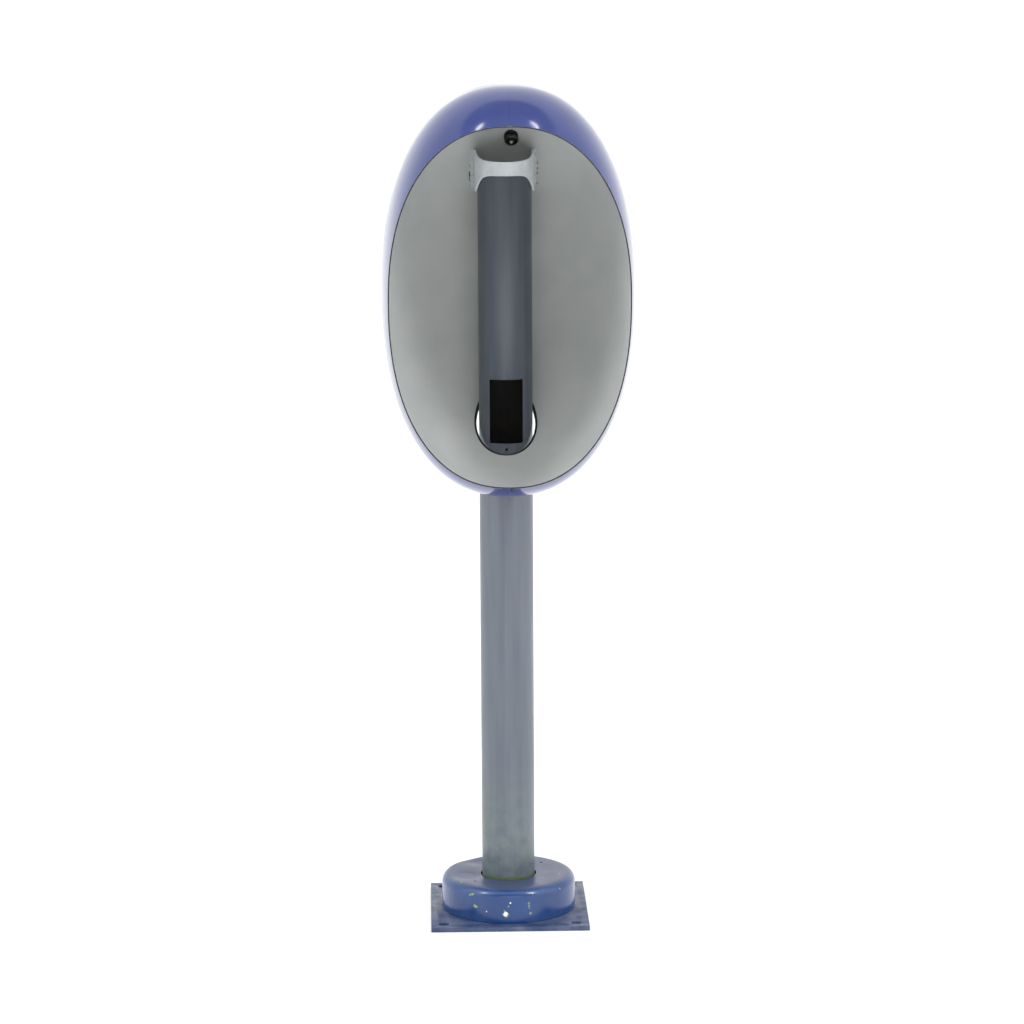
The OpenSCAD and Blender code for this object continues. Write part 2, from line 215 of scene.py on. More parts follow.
# ---------------------------------------------------------------- ribs, weld and tabs
# Four triangular ribs, the fillet weld round the foot of the post and two bent tabs for the cover's
# screws. All are mild steel, welded and given one coat of dark primer, and the cover hides them.
primer, tree, shader, place = new_finish("grey_primer_on_welded_steel", Roughness=0.6, IOR=1.48)
tone = node(tree, "TexNoise", {"Vector": place, "Scale": per_mm(14), "Detail": 6, "Roughness": 0.55})
tone = node(tree, "MapRange", {"Value": tone, "From Min": 0.35, "From Max": 0.7})
coat = node(tree, "Mix", {0: tone, 6: linear("#565b63"), 7: linear("#6f665d")}, 2, data_type="RGBA")
tree.links.new(coat, shader.inputs["Base Color"])
grit = node(tree, "TexNoise", {"Vector": place, "Scale": per_mm(2.5), "Detail": 6, "Roughness": 0.55})
tree.links.new(node(tree, "Bump", {"Height": grit, "Distance": 0.00015}), shader.inputs["Normal"])

for name in ("gussets", "cover_tabs"):
    refinish(name, primer)

weld_low, weld_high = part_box("post_foot_weld")
weld_ripples = 90
weld_ripple_depth = 0.12
weld_bulge = 1.4
# The least that the bead's face keeps from each leg, as a share of the leg
weld_out, weld_up = 0.04, 0.02
weld_r = (weld_high.x - weld_low.x) / 2
weld_leg = weld_high.z - weld_low.z


def weld_point(u, w):
    turn = 2 * math.pi * u
    ripple = 1 - weld_ripple_depth * abs(math.sin(weld_ripples / 2 * turn))
    # Half of the section is the bulging face of the bead, and half the two fused legs behind it
    if w < 0.5:
        swing = math.pi * w
        out = weld_leg * (weld_out + (1 - weld_out) * math.cos(swing) ** weld_bulge) * ripple
        up = weld_leg * (weld_up + (1 - weld_up) * math.sin(swing) ** weld_bulge) * ripple
    else:
        out = 0.0
        up = weld_leg * (1 - (w - 0.5) * 2) * (1 - weld_up)
    radius = weld_r - weld_leg + out
    return radius * math.cos(turn), radius * math.sin(turn), weld_low.z + up


bm = bmesh.new()
wrapped(bm, (720, 12), weld_point)
weld = piece_from(bm, "post_foot_bead", primer)
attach(weld, "stand")
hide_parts("post_foot_weld")

# ---------------------------------------------------------------- post
# Round steel tube, 114.3 mm across, welded to the plate and painted blue-grey. A hand hole was cut in
# its front for the cable, with a tapped hole below it, and years of handling have clouded its paint.
post_low, post_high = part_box("post")
post_r = (post_high.x - post_low.x) / 2
post_wall = 0.004
hand_half_w = 0.035
hand_low, hand_high = 1.040, 1.176
hand_cut_depth = 0.06
tapped_hole_r = 0.003
tapped_hole_z = hand_low - 0.013
insert_hole_r = 0.00855
rear_bolt_heights = (1.240, 1.500)

post_paint, tree, shader, place = new_finish("blue_grey_enamel_on_steel_tube", Roughness=0.4, IOR=1.5)
# Brushed-on enamel: long vertical streaks, cloudy handling marks, and a green stain low down.
upright = node(tree, "Mapping", {"Vector": place, "Scale": (1, 1, 0.06)})
streaks = node(tree, "TexNoise", {"Vector": upright, "Scale": per_mm(16), "Detail": 4, "Roughness": 0.5})
streaks = node(tree, "MapRange", {"Value": streaks, "From Min": 0.3, "From Max": 0.7})
paint = node(tree, "Mix", {0: streaks, 6: linear("#4c545f"), 7: linear("#59606b")}, 2, data_type="RGBA")
tall = node(tree, "Mapping", {"Vector": place, "Scale": (1, 1, 0.5)})
clouds = node(tree, "TexNoise", {"Vector": tall, "Scale": per_mm(70), "Detail": 6, "Roughness": 0.6})
clouds = node(tree, "MapRange", {"Value": clouds, "From Min": 0.35, "From Max": 0.7})
share = node(tree, "Math", {0: clouds, 1: 0.35}, operation="MULTIPLY")
paint = node(tree, "Mix", {0: share, 6: paint, 7: linear("#5c5e60")}, 2, data_type="RGBA")
height = node(tree, "SeparateXYZ", {0: place}, "Z")
low_down = node(tree, "MapRange", {0: height, "From Min": 0.09, "From Max": 0.34, "To Min": 1, "To Max": 0})
algae = node(tree, "TexNoise", {"Vector": place, "Scale": per_mm(28), "Detail": 6, "Roughness": 0.55})
algae = node(tree, "MapRange", {"Value": algae, "From Min": 0.35, "From Max": 0.65})
algae = node(tree, "Math", {0: low_down, 1: algae}, operation="MULTIPLY")
share = node(tree, "Math", {0: algae, 1: 0.6}, operation="MULTIPLY")
paint = node(tree, "Mix", {0: share, 6: paint, 7: linear("#6c7d72")}, 2, data_type="RGBA")
# Moss grows only in the gap where the cover meets the post
under = node(tree, "MapRange", {0: height, "From Min": 0.084, "From Max": 0.089, "To Min": 1, "To Max": 0})
over = node(tree, "MapRange", {"Value": height, "From Min": 0.074, "From Max": 0.08})
damp = node(tree, "Math", {0: under, 1: over}, operation="MULTIPLY")
moss = node(tree, "TexNoise", {"Vector": place, "Scale": per_mm(4), "Detail": 5, "Roughness": 0.55})
moss = node(tree, "MapRange", {"Value": moss, "From Min": 0.4, "From Max": 0.5})
moss = node(tree, "Math", {0: damp, 1: moss}, operation="MULTIPLY")
paint = node(tree, "Mix", {0: moss, 6: paint, 7: linear("#54672e")}, 2, data_type="RGBA")
specks = node(tree, "TexNoise", {"Vector": place, "Scale": per_mm(5), "Detail": 2, "Roughness": 0.55})
specks = node(tree, "MapRange", {"Value": specks, "From Min": 0.69, "From Max": 0.73})
share = node(tree, "Math", {0: specks, 1: 0.5}, operation="MULTIPLY")
paint = node(tree, "Mix", {0: share, 6: paint, 7: linear("#41454c")}, 2, data_type="RGBA")
tree.links.new(paint, shader.inputs["Base Color"])
dull = node(tree, "MapRange", {"Value": clouds, "To Min": 0.32, "To Max": 0.46})
tree.links.new(dull, shader.inputs["Roughness"])
brushed = node(tree, "Mapping", {"Vector": place, "Scale": (1, 1, 0.3)})
brushed = node(tree, "TexNoise", {"Vector": brushed, "Scale": per_mm(6), "Detail": 3, "Roughness": 0.5})
tree.links.new(node(tree, "Bump", {"Height": brushed, "Distance": 0.00008}), shader.inputs["Normal"])

tube_inside, tree, shader, place = new_finish("unpainted_inside_of_steel_tube", Roughness=0.8, IOR=1.5)
# Black mill scale with a little rust, darkened to near-black as painted shade of the tube's inside, so it
# gives back almost no light.
rust = node(tree, "TexNoise", {"Vector": place, "Scale": per_mm(30), "Detail": 6, "Roughness": 0.55})
rust = node(tree, "MapRange", {"Value": rust, "From Min": 0.5, "From Max": 0.8})
scale = node(tree, "Mix", {0: rust, 6: linear("#1f1e1e"), 7: linear("#2b231f")}, 2, data_type="RGBA")
tree.links.new(scale, shader.inputs["Base Color"])
grit = node(tree, "TexNoise", {"Vector": place, "Scale": per_mm(3), "Detail": 4, "Roughness": 0.55})
tree.links.new(node(tree, "Bump", {"Height": grit, "Distance": 0.0002}), shader.inputs["Normal"])

bm = bmesh.new()
add_rod(bm, post_r, (0, 0, post_low.z), (0, 0, post_high.z), 160)
bore = post_r - post_wall
post = piece_from(bm, "post_tube", post_paint, tube_inside)
bm = bmesh.new()
add_rod(bm, bore, (0, 0, post_low.z - 0.02), (0, 0, post_high.z + 0.02), 160)
drilled(post, bm)
bm = bmesh.new()
bmesh.ops.create_cube(bm, size=1)
bmesh.ops.scale(bm, vec=(2 * hand_half_w, hand_cut_depth, hand_high - hand_low), verts=bm.verts)
bmesh.ops.translate(bm, vec=(0, -post_r, (hand_low + hand_high) / 2), verts=bm.verts)
drilled(post, bm)
bm = bmesh.new()
add_rod(bm, tapped_hole_r, (0, -post_r - 0.01, tapped_hole_z), (0, -post_r + 0.01, tapped_hole_z), 24)
for z in rear_bolt_heights:
    add_rod(bm, insert_hole_r, (0, post_r - 0.02, z), (0, post_r + 0.01, z), 32)
drilled(post, bm)
rounded(post, 0.5)
# The wall of the bore, but not its rounded end, is bare steel
for face in post.data.polygons:
    reach = math.hypot(face.center.x, face.center.y)
    face.material_index = int(reach < bore + 0.0006 and face.center.z < post_high.z - 0.001)
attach(post, "stand")
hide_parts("post")

# ---------------------------------------------------------------- cap of the post
# A ribbed plug of black nylon, pushed into the open head of the tube to keep water out.
black_nylon, tree, shader, place = new_finish("moulded_black_nylon", Roughness=0.32, IOR=1.53)
# Moulded nylon has a satin skin that shows as broad soft lights, with a little dust on it.
dust = node(tree, "TexNoise", {"Vector": place, "Scale": per_mm(6), "Detail": 6, "Roughness": 0.55})
dust = node(tree, "MapRange", {"Value": dust, "From Min": 0.45, "From Max": 0.75})
dusty = node(tree, "Mix", {0: dust, 6: linear("#121214"), 7: linear("#242428")}, 2, data_type="RGBA")
tree.links.new(dusty, shader.inputs["Base Color"])
satin = node(tree, "TexNoise", {"Vector": place, "Scale": per_mm(1.2), "Detail": 3, "Roughness": 0.55})
tree.links.new(node(tree, "Bump", {"Height": satin, "Distance": 0.00003}), shader.inputs["Normal"])

cap_low, cap_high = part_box("post_cap")
cap_flange_t = 0.003
cap_rib_r, cap_plug_r = bore - 0.0004, bore - 0.0016


def cap_point(u, w):
    # Over the top, down the outside of the flange, and along the plug with its two ribs
    turn = 2 * math.pi * u
    flange = cap_high.z - cap_flange_t
    profile = [
        (0.0, cap_high.z), (post_r * 0.6, cap_high.z), (post_r - 0.0015, cap_high.z),
        (post_r, cap_high.z - 0.0012), (post_r, flange), (cap_rib_r, flange),
        (cap_rib_r, flange - 0.004), (cap_plug_r, flange - 0.005),
        (cap_plug_r, flange - 0.008), (cap_rib_r, flange - 0.009),
        (cap_plug_r, flange - 0.0125), (bore - 0.004, cap_low.z), (0.0, cap_low.z),
    ]
    radius, z = profile[round(w * (len(profile) - 1))]
    return radius * math.cos(turn), radius * math.sin(turn), z


bm = bmesh.new()
wrapped(bm, (128, 12), cap_point)
post_cap = piece_from(bm, "post_head_plug", black_nylon)
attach(post_cap, "stand")
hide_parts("post_cap")

# ---------------------------------------------------------------- rear fixings
# Two M12 screws hold the hood off the post: a zinc-plated insert riveted into the tube, a tube spacer,
# and a hexagon screw with a wide washer on the outside of the hood.
zinc, tree, shader, place = new_finish("bright_zinc_plated_steel", Metallic=1.0, Roughness=0.34)
# Bright zinc is a pale blue-grey metal that dulls to a flat grey in the open.
tarnish = node(tree, "TexNoise", {"Vector": place, "Scale": per_mm(5), "Detail": 7, "Roughness": 0.55})
tarnish = node(tree, "MapRange", {"Value": tarnish, "From Min": 0.4, "From Max": 0.7})
metal = node(tree, "Mix", {0: tarnish, 6: linear("#b9bfc6"), 7: linear("#8f9296")}, 2, data_type="RGBA")
tree.links.new(metal, shader.inputs["Base Color"])
dull = node(tree, "MapRange", {"Value": tarnish, "To Min": 0.26, "To Max": 0.55})
tree.links.new(dull, shader.inputs["Roughness"])
grit = node(tree, "TexNoise", {"Vector": place, "Scale": per_mm(1.5), "Detail": 4, "Roughness": 0.55})
tree.links.new(node(tree, "Bump", {"Height": grit, "Distance": 0.00003}), shader.inputs["Normal"])

for name in ("rivet_nuts", "rear_spacers"):
    refinish(name, zinc)

bolt_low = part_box("rear_bolts")[0]
washer_t = 0.003
head_h = 0.0075
head_across = 0.0208
head_chamfer = 0.0012
head_lift = 0.00005
shank_r = 0.006
bolt_hole_r = 0.0066


def add_hexagon(bm, across, start, end, chamfer):
    """A hexagonal prism, across its corners, from start to end, with chamfered corners at the end."""
    first = len(bm.verts)
    add_rod(bm, across / 2, start, end, 6)
    bm.verts.ensure_lookup_table()
    added = set(bm.verts[first:])
    way = (Vector(end) - Vector(start)).normalized()
    corners = [
        e for e in bm.edges
        if e.verts[0] in added and all((v.co - Vector(end)).dot(way) > -1e-6 for v in e.verts)
    ]
    bmesh.ops.bevel(
        bm, geom=corners, offset=chamfer, segments=2, profile=0.5, affect="EDGES", material=-1,
    )


def seat_of(z):
    """Depth of the outer face of the washer at a rear bolt, from the CAD washers' own mesh."""
    near = [v.co.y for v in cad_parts["rear_washers"].data.vertices if abs(v.co.z - z) < 0.03]
    return max(near)


bm = bmesh.new()
for z in rear_bolt_heights:
    seat = seat_of(z) + head_lift
    add_rod(bm, shank_r, (0, bolt_low.y, z), (0, seat + 0.001, z))
    add_hexagon(bm, head_across, (0, seat, z), (0, seat + head_h, z), head_chamfer)
rear_bolts = piece_from(bm, "rear_screws", zinc)
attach(rear_bolts, "stand")
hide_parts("rear_bolts")

washer_r = 0.018
bm = bmesh.new()
for z in rear_bolt_heights:
    add_rod(bm, washer_r, (0, seat_of(z) - washer_t, z), (0, seat_of(z), z), 64)
rear_washers = piece_from(bm, "rear_wide_washers", zinc)
bm = bmesh.new()
for z in rear_bolt_heights:
    add_rod(bm, bolt_hole_r, (0, seat_of(z) - 0.01, z), (0, seat_of(z) + 0.01, z))
drilled(rear_washers, bm)
rounded(rear_washers, 0.5)
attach(rear_washers, "stand")
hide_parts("rear_washers")

# ---------------------------------------------------------------- foot cover
# A shallow steel pan, pressed and drawn from 2 mm sheet and turned over the foot of the post. It is
# sprayed in glossy blue enamel, dented where it has been stepped on, and chipped down to older paint.
cover_low, cover_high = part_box("base_cover")
cover_r = (cover_high.x - cover_low.x) / 2
cover_round = 0.018
cover_t = 0.002
cover_hole_r = 0.0605
cover_dish = 0.003
screw_turn = math.radians(43)
screw_reach = 0.101
screw_r = 0.003

cover_paint, tree, shader, place = new_finish(
    "glossy_blue_enamel_on_pressed_steel", Roughness=0.24, IOR=1.5, Coat_Weight=0.15, Coat_Roughness=0.16,
)
# Sprayed enamel keeps a clear shine on its walls. Its top has been walked on, so it is greyer and duller.
clouds = node(tree, "TexNoise", {"Vector": place, "Scale": per_mm(50), "Detail": 6, "Roughness": 0.6})
clouds = node(tree, "MapRange", {"Value": clouds, "From Min": 0.32, "From Max": 0.7})
paint = node(tree, "Mix", {0: clouds, 6: linear("#0a2f62"), 7: linear("#143a6e")}, 2, data_type="RGBA")
upward = node(tree, "SeparateXYZ", {0: node(tree, "NewGeometry", output="Normal")}, "Z")
upward = node(tree, "MapRange", {"Value": upward, "From Min": 0.75, "From Max": 0.98})
worn = node(tree, "MapRange", {"Value": clouds, "To Min": 0.45, "To Max": 0.9})
trodden = node(tree, "Math", {0: upward, 1: worn}, operation="MULTIPLY")
paint = node(tree, "Mix", {0: trodden, 6: paint, 7: linear("#3c4158")}, 2, data_type="RGBA")
flat = node(tree, "Mapping", {"Vector": place, "Scale": (1, 1, 2.2)})
scuffs = node(tree, "TexNoise", {"Vector": flat, "Scale": per_mm(11), "Detail": 9, "Roughness": 0.75})
scuffs = node(tree, "MapRange", {"Value": scuffs, "From Min": 0.68, "From Max": 0.72})
share = node(tree, "Math", {0: scuffs, 1: 0.5}, operation="MULTIPLY")
paint = node(tree, "Mix", {0: share, 6: paint, 7: linear("#6b7a72")}, 2, data_type="RGBA")
# Where a knock went through the enamel, the older green-grey coat shows, and white filler in the deepest
old_coat, filler, rust_dot = linear("#7d8f52"), linear("#e4e7e2"), linear("#1a202b")
# Each knock: degrees round the post from the front, then millimetres out from the post's axis, up from
# the floor and across the mark, and what shows
knocks = (
    (-4, 145, 31.5, 12, old_coat), (-4, 145, 31.5, 9, filler), (0, 145, 56, 3.6, filler),
    (-31, 145, 44, 8, old_coat), (16, 145, 53.5, 4, old_coat), (16, 145, 48, 3.4, old_coat),
    (16.5, 145, 43, 3, old_coat), (17.5, 145, 30.5, 5, old_coat), (-1.5, 145, 48.5, 3.4, old_coat),
    (-34.5, 145, 69, 4.5, old_coat), (-33, 145, 70.5, 3.6, old_coat), (-36.5, 145, 67, 3.6, old_coat),
    (-39.5, 145, 72, 4, rust_dot), (-20.5, 145, 35, 2.4, filler), (19.5, 145, 74, 4, old_coat),
    (49, 145, 72.5, 4.5, old_coat), (60, 143, 81, 3.6, filler), (78.5, 113, 84, 4.5, old_coat),
    (30, 143, 79, 3.6, filler), (-53, 130, 84, 5, old_coat),
)
for turn, out, up, across_mm, colour in knocks:
    around = Matrix.Rotation(math.radians(turn), 3, "Z")
    at = around @ Vector((0, -out / 1000, up / 1000))
    paint = node(tree, "Mix", {0: spot(tree, place, at, across_mm), 6: paint, 7: colour}, 2, data_type="RGBA")
tree.links.new(paint, shader.inputs["Base Color"])
dull = node(tree, "MapRange", {"Value": trodden, "To Min": 0.2, "To Max": 0.5})
tree.links.new(dull, shader.inputs["Roughness"])
waves = node(tree, "TexNoise", {"Vector": place, "Scale": per_mm(35), "Detail": 3, "Roughness": 0.55})
waves = node(tree, "Bump", {"Height": waves, "Distance": 0.0005, "Strength": 0.5})
tree.links.new(waves, shader.inputs["Normal"])


def cover_profile():
    """The pan's closed section as (radius, height), from its lower edge, over the top and back inside."""
    shoulder_r, shoulder_z = cover_r - cover_round, cover_high.z - cover_round
    hem_z = cover_low.z + 0.0008
    arc = [math.radians(a) for a in range(0, 91, 9)]
    top_slope = 8
    outer = [(cover_r, hem_z), (cover_r, (cover_low.z + shoulder_z) / 2)]
    outer += [(shoulder_r + cover_round * math.cos(a), shoulder_z + cover_round * math.sin(a)) for a in arc]
    for step in range(1, top_slope + 1):
        share = step / top_slope
        radius = shoulder_r + (cover_hole_r - shoulder_r) * share
        outer.append((radius, cover_high.z - cover_dish * share))
    inner = [(cover_hole_r, cover_high.z - cover_dish - cover_t)]
    inner += [(shoulder_r, cover_high.z - cover_t)]
    small = cover_round - cover_t
    inner += [(shoulder_r + small * math.cos(a), shoulder_z + small * math.sin(a)) for a in reversed(arc)]
    inner += [(cover_r - cover_t, hem_z), (cover_r - cover_t / 2, cover_low.z)]
    return outer + inner + [outer[0]]


section = cover_profile()
# Each dent: where it is, how wide and how deep, in metres. It goes down and a little inward.
dents = (
    ((-0.092, -0.020, 0.084), 0.030, 0.0062),
    ((-0.066, 0.085, 0.084), 0.026, 0.0045),
    ((-0.135, -0.050, 0.060), 0.030, 0.0020),
    ((0.095, -0.105, 0.060), 0.028, 0.0014),
)
dent_inward = 0.35
# The hem at the foot of the pan stays round
hem_h = 0.01


def cover_point(u, w):
    turn = 2 * math.pi * u
    radius, z = section[round(w * (len(section) - 1))]
    point = Vector((radius * math.cos(turn), radius * math.sin(turn), z))
    for centre, width, depth in dents:
        near = math.exp(-((point - Vector(centre)).length / width) ** 2)
        inward = Vector((-math.cos(turn) * dent_inward, -math.sin(turn) * dent_inward, -1)).normalized()
        if z > cover_low.z + hem_h:
            point += inward * depth * near
    return point


bm = bmesh.new()
wrapped(bm, (256, len(section) - 1), cover_point)
cover = piece_from(bm, "foot_cover_pan", cover_paint)
bm = bmesh.new()
for turn in (screw_turn, screw_turn + math.pi):
    at = (screw_reach * math.cos(turn), screw_reach * math.sin(turn))
    add_rod(bm, screw_r, (*at, 0.07), (*at, 0.10), 32)
drilled(cover, bm)
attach(cover, "foot_cover")
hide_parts("base_cover")

# ---------------------------------------------------------------- hood
# One glass-fibre moulding, laid up by hand in a mould: polished blue gelcoat outside and a rolled coat
# of light grey inside. The post comes up through a round hole in its floor.
hood_low, hood_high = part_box("hood_shell")
mid_z = 1.380
rim_y = -0.420
crown_y, low_y, wide_y = -0.262, -0.310, -0.228
crown_front, low_front, wide_front = 0.287, 0.285, 0.573
crown_p, low_p, wide_p = 3.23, 2.16, 2.6
hood_half_w = (hood_high.x - hood_low.x) / 2
hood_crown, hood_floor, hood_back = 1.808, 0.966, 0.115
hood_lean = 0.133
hood_n = 2.26
hood_t = 0.003
floor_hole_r = post_r + 0.007


def oval(u, p):
    return max(1 - abs(u) ** p, 0) ** (1 / p)


def swell(y, widest, front, p):
    """Share of its greatest size that a half outline has at depth y."""
    if y < widest:
        return oval((widest - y) / front, 2)
    return oval((y - widest) / (hood_back - widest), p)


def bent(v):
    return math.copysign(abs(v) ** (2 / hood_n), v)


def skin(y, a):
    """The hood's outer surface at depth y and angle a in degrees."""
    s, c = math.sin(math.radians(a)), math.cos(math.radians(a))
    if s > 0:
        half = (hood_crown - mid_z) * swell(y, crown_y, crown_front, crown_p)
    else:
        half = (mid_z - hood_floor) * swell(y, low_y, low_front, low_p)
    rise = half * bent(s)
    along = math.asin(min((y - rim_y) / (hood_back - rim_y), 1)) / (math.pi / 2)
    wide = hood_half_w * swell(y, wide_y, wide_front, wide_p)
    return Vector((wide * bent(c), y - hood_lean * (1 - along) * rise, mid_z + rise))


def hood_point(u, w):
    y = rim_y + (hood_back - rim_y) * math.sin(math.pi / 2 * w)
    return skin(y, 360 * u)


blue_gelcoat, tree, shader, place = new_finish("polished_blue_gelcoat", Roughness=0.09, IOR=1.54)
# Polished polyester gelcoat: a deep clear shine over a faintly wavy skin, hazed in patches by rain and
# hands, with the mould's joint as a hairline down its middle.
haze = node(tree, "TexNoise", {"Vector": place, "Scale": per_mm(120), "Detail": 5, "Roughness": 0.6})
haze = node(tree, "MapRange", {"Value": haze, "From Min": 0.35, "From Max": 0.7})
paint = node(tree, "Mix", {0: haze, 6: linear("#243268"), 7: linear("#2c3870")}, 2, data_type="RGBA")
tall = node(tree, "Mapping", {"Vector": place, "Scale": (1, 1, 0.4)})
swirls = node(tree, "TexNoise", {"Vector": tall, "Scale": per_mm(7), "Detail": 9, "Roughness": 0.8})
swirls = node(tree, "MapRange", {"Value": swirls, "From Min": 0.7, "From Max": 0.74})
share = node(tree, "Math", {0: swirls, 1: 0.2}, operation="MULTIPLY")
paint = node(tree, "Mix", {0: share, 6: paint, 7: linear("#7880a8")}, 2, data_type="RGBA")
aside = node(tree, "Math", {0: node(tree, "SeparateXYZ", {0: place}, "X")}, operation="ABSOLUTE")
seam = node(tree, "MapRange", {0: aside, "From Min": 0.0004, "From Max": 0.0016, "To Min": 1, "To Max": 0})
share = node(tree, "Math", {0: seam, 1: 0.3}, operation="MULTIPLY")
paint = node(tree, "Mix", {0: share, 6: paint, 7: linear("#1f2a58")}, 2, data_type="RGBA")
tree.links.new(paint, shader.inputs["Base Color"])
dull = node(tree, "MapRange", {"Value": haze, "To Min": 0.06, "To Max": 0.16})
tree.links.new(dull, shader.inputs["Roughness"])
waves = node(tree, "TexNoise", {"Vector": place, "Scale": per_mm(90), "Detail": 2, "Roughness": 0.55})
waves = node(tree, "Bump", {"Height": waves, "Distance": 0.0014, "Strength": 0.35})
tree.links.new(waves, shader.inputs["Normal"])

grey_topcoat, tree, shader, place = new_finish(
    "light_grey_topcoat_on_glass_fibre", Roughness=0.5, IOR=1.5,
    Sheen_Weight=0.55, Sheen_Roughness=0.35, Sheen_Tint=linear("#e8ecf4"),
)
# Rolled topcoat over chopped strand mat: an even pale grey with shallow lumps, rub marks and specks,
# and a dusty bloom that shows as a paler sheen at a glancing angle.
clouds = node(tree, "TexNoise", {"Vector": place, "Scale": per_mm(90), "Detail": 5, "Roughness": 0.6})
clouds = node(tree, "MapRange", {"Value": clouds, "From Min": 0.35, "From Max": 0.7})
paint = node(tree, "Mix", {0: clouds, 6: linear("#c0c3c2"), 7: linear("#c9cbc9")}, 2, data_type="RGBA")
tall = node(tree, "Mapping", {"Vector": place, "Scale": (1, 1, 0.35)})
marks = node(tree, "TexNoise", {"Vector": tall, "Scale": per_mm(22), "Detail": 8, "Roughness": 0.75})
marks = node(tree, "MapRange", {"Value": marks, "From Min": 0.63, "From Max": 0.72})
share = node(tree, "Math", {0: marks, 1: 0.3}, operation="MULTIPLY")
paint = node(tree, "Mix", {0: share, 6: paint, 7: linear("#a2a19b")}, 2, data_type="RGBA")
specks = node(tree, "TexNoise", {"Vector": place, "Scale": per_mm(3.5), "Detail": 2, "Roughness": 0.55})
specks = node(tree, "MapRange", {"Value": specks, "From Min": 0.74, "From Max": 0.76})
share = node(tree, "Math", {0: specks, 1: 0.5}, operation="MULTIPLY")
paint = node(tree, "Mix", {0: share, 6: paint, 7: linear("#77756e")}, 2, data_type="RGBA")
tree.links.new(paint, shader.inputs["Base Color"])
dull = node(tree, "MapRange", {"Value": clouds, "To Min": 0.42, "To Max": 0.6})
tree.links.new(dull, shader.inputs["Roughness"])
rolled = node(tree, "TexNoise", {"Vector": place, "Scale": per_mm(14), "Detail": 4, "Roughness": 0.55})
rolled = node(tree, "Bump", {"Height": rolled, "Distance": 0.0005, "Strength": 0.5})
tree.links.new(rolled, shader.inputs["Normal"])

bm = bmesh.new()
wrapped(bm, (192, 110), hood_point)
hood = piece_from(bm, "hood_moulding", blue_gelcoat, grey_topcoat)
wall = hood.modifiers.new("wall", "SOLIDIFY")
wall.thickness, wall.offset, wall.use_even_offset = hood_t, -1, True
wall.material_offset, wall.material_offset_rim = 1, 1
applied(hood)
bm = bmesh.new()
add_rod(bm, floor_hole_r, (0, 0, hood_floor - 0.05), (0, 0, hood_floor + 0.25), 128)
for z in rear_bolt_heights:
    add_rod(bm, bolt_hole_r, (0, 0, z), (0, 0.16, z))
drilled(hood, bm)
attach(hood, "stand")
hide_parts("hood_shell")

bm = bmesh.new()
bm.from_mesh(hood.data)
hood_tree = BVHTree.FromBMesh(bm)
bm.free()

# ---------------------------------------------------------------- edge trim of the rim
# Two lengths of thin black rubber strip, glued along the raw edge of the hood. They meet at the top,
# where both ends have sunk a little, and the right one ends in a loose tail at the bottom.
black_rubber, tree, shader, place = new_finish("extruded_black_rubber", Roughness=0.75, IOR=1.52)
# Extruded rubber is matt, with a grey bloom from weather.
bloom = node(tree, "TexNoise", {"Vector": place, "Scale": per_mm(18), "Detail": 6, "Roughness": 0.55})
bloom = node(tree, "MapRange", {"Value": bloom, "From Min": 0.4, "From Max": 0.75})
rubber = node(tree, "Mix", {0: bloom, 6: linear("#060607"), 7: linear("#151518")}, 2, data_type="RGBA")
tree.links.new(rubber, shader.inputs["Base Color"])
grit = node(tree, "TexNoise", {"Vector": place, "Scale": per_mm(1.5), "Detail": 3, "Roughness": 0.55})
tree.links.new(node(tree, "Bump", {"Height": grit, "Distance": 0.00005}), shader.inputs["Normal"])

trim_t = 0.0015
trim_margin = 0.0002
# In degrees of the rim: what each end leaves at its joint, and the stretch that has sunk at the top
joint_gap = 0.02
sunk_over = 0.9
sunk_by = 0.0006
# The strip's section: how far across the wall, from its inner face to its outer, and how far forward
strip_section = (
    (0, 0), (0, 0.5), (0.1, 0.85), (0.28, 1), (0.72, 1), (0.9, 0.85), (1, 0.5), (1, 0), (0, 0),
)
tail_start = Vector((0.0022, -0.00075, -0.0005))
tail_size = (0.0022, 0.0011, 0.002)
tail_steps = 6
tail_drop, tail_curl = 0.0009, 0.00012


def rim_directions(a):
    """At an angle of the rim: square out of the wall, and back along it."""
    step = 0.0005
    back = (skin(rim_y + step, a) - skin(rim_y, a)).normalized()
    return back.cross(skin(rim_y, a + 0.5) - skin(rim_y, a - 0.5)).normalized(), back


def trim_point(a, w):
    across, forward = strip_section[round(w * (len(strip_section) - 1))]
    out, back = rim_directions(a)
    point = skin(rim_y, a) - out * (hood_t - trim_margin)
    point += out * (hood_t - 2 * trim_margin) * across - back * trim_t * forward
    sunk = max(1 - abs(a - 90 - joint_gap) / sunk_over, 0)
    return point - out * sunk_by * sunk * sunk


def add_tail(bm, top):
    """A short end of the strip that hangs from the joint and curls to one side."""
    bmesh.ops.create_cube(bm, size=1, matrix=Matrix.Translation(top) @ Matrix.Diagonal((*tail_size, 1)))
    bm.faces.ensure_lookup_table()
    near = [f for f in bm.faces if (f.calc_center_median() - top).length < 0.0015]
    tip = min(near, key=lambda f: f.calc_center_median().z)
    for step in range(tail_steps):
        moved = bmesh.ops.extrude_face_region(bm, geom=[tip])
        verts = [g for g in moved["geom"] if isinstance(g, bmesh.types.BMVert)]
        bmesh.ops.translate(bm, vec=(tail_curl * step * step, 0, -tail_drop), verts=verts)
        bmesh.ops.delete(bm, geom=[tip], context="FACES_ONLY")
        tip = [g for g in moved["geom"] if isinstance(g, bmesh.types.BMFace)][0]


